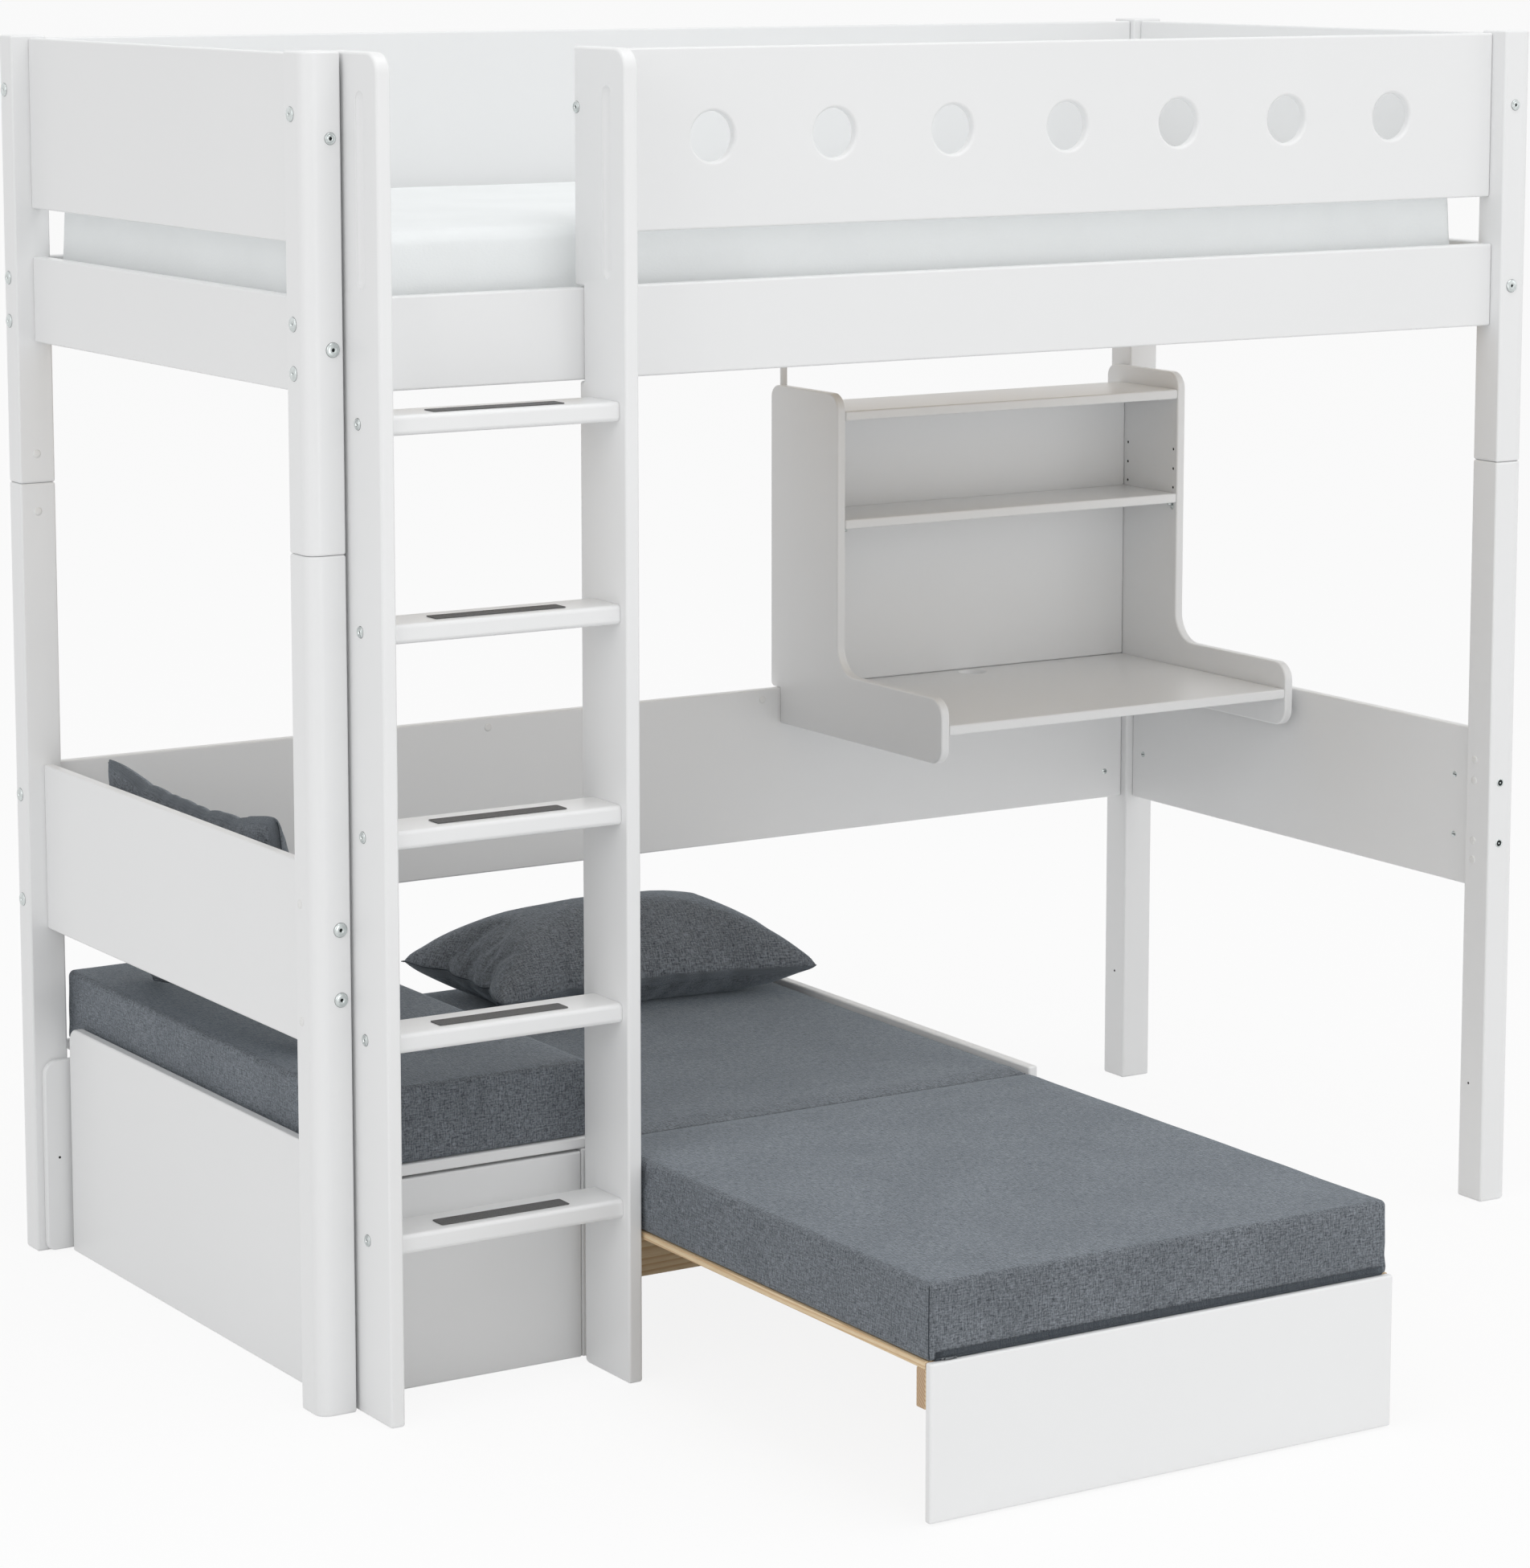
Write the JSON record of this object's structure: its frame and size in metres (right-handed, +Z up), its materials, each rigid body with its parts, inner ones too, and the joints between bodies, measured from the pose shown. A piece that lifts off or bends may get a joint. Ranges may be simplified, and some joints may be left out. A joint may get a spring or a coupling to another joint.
{
  "type": "loft bed",
  "caption": "White loft bed with guards and a ladder, over a hung desk with shelves and a sofa that pulls out into a guest bed with a folding mattress.",
  "frame": {"origin": "on the floor, under the middle of the box round the bed with the guest bed pulled out", "axes": "+X along the bed, from the ladder to the desk; +Y from the front, where the guest bed pulls out, to the back; +Z up"},
  "size_m": [2.1, 1.803, 1.84],
  "materials": {
    "white_lacquer": "satin white lacquer",
    "pine": "bare planed pine",
    "grey_cloth": "blue grey melange weave",
    "white_cloth": "white knitted cover",
    "grip_rubber": "dark grey grip strip",
    "zip_metal": "dark nickel",
    "bolt_steel": "bright zinc",
    "cap_plastic": "white plastic caps"
  },
  "bodies": {
    "bed": {"lower_post_front_left": "white_lacquer", "lower_post_front_right": "white_lacquer", "lower_post_back_left": "white_lacquer", "lower_post_back_right": "white_lacquer", "upper_post_front_left": "white_lacquer", "upper_post_front_right": "white_lacquer", "upper_post_back_left": "white_lacquer", "upper_post_back_right": "white_lacquer", "front_rail": "white_lacquer", "back_rail": "white_lacquer", "left_rail": "white_lacquer", "right_rail": "white_lacquer", "front_guard": "white_lacquer", "back_guard": "white_lacquer", "left_guard": "white_lacquer", "right_guard": "white_lacquer", "lower_left_guard": "white_lacquer", "lower_right_panel": "white_lacquer", "lower_back_panel": "white_lacquer", "ladder_stile_left": "white_lacquer", "ladder_stile_right": "white_lacquer", "rung_1": "white_lacquer", "rung_2": "white_lacquer", "rung_3": "white_lacquer", "rung_4": "white_lacquer", "rung_5": "white_lacquer", "grip_strip_1": "grip_rubber", "grip_strip_2": "grip_rubber", "grip_strip_3": "grip_rubber", "grip_strip_4": "grip_rubber", "grip_strip_5": "grip_rubber", "front_bearer": "pine", "back_bearer": "pine", "slat_base": "pine", "upper_mattress": "white_cloth", "desk_side_left": "white_lacquer", "desk_side_right": "white_lacquer", "desk_top": "white_lacquer", "desk_back": "white_lacquer", "top_shelf": "white_lacquer", "middle_shelf": "white_lacquer", "desk_hanger": "white_lacquer", "seat_end_panel": "white_lacquer", "sofa_back_board": "white_lacquer", "seat_front_panel": "white_lacquer", "seat_divider": "white_lacquer", "seat_deck": "white_lacquer", "sofa_right_side": "white_lacquer", "guest_slats_fixed": "pine", "seat_cushion": "grey_cloth", "guest_mattress_back": "grey_cloth", "pillow_bed": "grey_cloth", "pillow_back": "grey_cloth"},
    "pullout": {"pullout_front": "white_lacquer", "pullout_front_rail": "pine", "pullout_slats": "pine"},
    "mattress_flap": {"guest_mattress_front": "grey_cloth"},
    "zip": {"zip_slider": "zip_metal"}
  },
  "joints": [
    {"name": "pullout_slide", "type": "slide", "parent": "bed", "child": "pullout", "axis": [0, 1, 0], "range_m": [0, 0.8495]},
    {"name": "mattress_fold", "type": "hinge", "parent": "bed", "child": "mattress_flap", "pos_m": [-0.218, -0.0552, 0.3123], "axis": [-1, 0, 0], "range_deg": [0, 165.2]},
    {"name": "zip_slide", "type": "slide", "parent": "mattress_flap", "child": "zip", "axis": [1, 0, 0], "range_m": [0, 0.69]}
  ],
  "couplings": [
    {"joint": "mattress_fold", "follows": "pullout_slide", "rad_per_m": 3.39}
  ]
}
